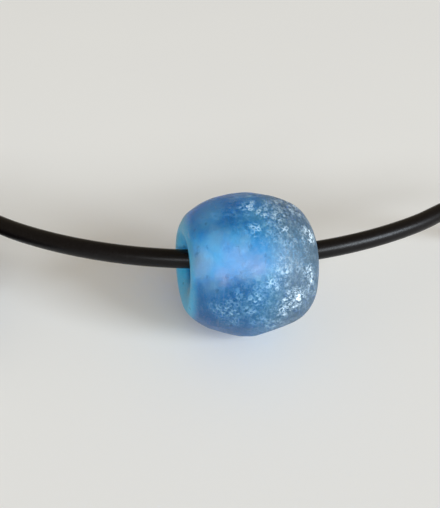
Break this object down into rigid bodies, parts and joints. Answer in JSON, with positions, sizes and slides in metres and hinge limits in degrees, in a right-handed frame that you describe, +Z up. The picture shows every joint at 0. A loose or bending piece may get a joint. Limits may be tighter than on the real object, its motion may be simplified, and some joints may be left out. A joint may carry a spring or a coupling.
{
  "type": "beaded cord necklace",
  "caption": "Round barrel bead of frosted recycled glass, free to slide on a thin rubber cord with end caps, jump rings and a lobster clasp; the spare cord is coiled and tied.",
  "frame": {"origin": "on the surface that the necklace lies on, under the middle of the bead", "axes": "+X along the bead's hole, within about 5 degrees, towards the clasp; +Y towards the inside of the necklace's curve; +Z up"},
  "size_m": [0.105, 0.0253, 0.0149],
  "materials": {
    "frosted_glass": "tumbled matte surface over blue recycled glass, with pale pitting",
    "cord_rubber": "solid black rubber, satin",
    "plated_metal": "polished silver-coloured plating",
    "spring_steel": "drawn spring wire",
    "tie_band": "woven cotton tape, natural white"
  },
  "bodies": {
    "cord": {"cord_front": "cord_rubber", "cord_coil": "cord_rubber", "cord_tail": "cord_rubber", "coil_tie": "tie_band", "right_end_cap": "plated_metal", "left_end_cap": "plated_metal"},
    "bead": {"glass_bead": "frosted_glass"},
    "clasp_ring": {"clasp_jump_ring": "plated_metal"},
    "clasp": {"clasp_body": "plated_metal", "clasp_rivet": "plated_metal", "clasp_spring": "spring_steel"},
    "lever": {"clasp_lever": "plated_metal"},
    "end_ring": {"end_jump_ring": "plated_metal"}
  },
  "joints": [
    {"name": "bead_travel", "type": "hinge", "parent": "cord", "child": "bead", "pos_m": [0.00219, 0.04305, 0.00825], "axis": [0, 0, 1], "range_deg": [-25, 20]},
    {"name": "clasp_ring_swing", "type": "hinge", "parent": "cord", "child": "clasp_ring", "pos_m": [0.0484, 0.00833, 0.00165], "axis": [0, 0, 1], "range_deg": [-15, 195]},
    {"name": "clasp_swing", "type": "hinge", "parent": "clasp_ring", "child": "clasp", "pos_m": [0.0484, 0.00469, 0.0013], "axis": [0, 0, 1], "range_deg": [-60, 60]},
    {"name": "clasp_lever_open", "type": "hinge", "parent": "clasp", "child": "lever", "pos_m": [0.0493, -0.00001, 0.0013], "axis": [0, 0, 1], "range_deg": [-25, 0], "stiffness_Nm_per_rad": 0.001, "springref_deg": 8.59, "deforming": ["clasp_spring"]},
    {"name": "end_ring_swing", "type": "hinge", "parent": "cord", "child": "end_ring", "pos_m": [-0.05021, -0.00238, 0.00905], "axis": [0.9703, 0.2421, 0], "range_deg": [-140, 0]}
  ]
}
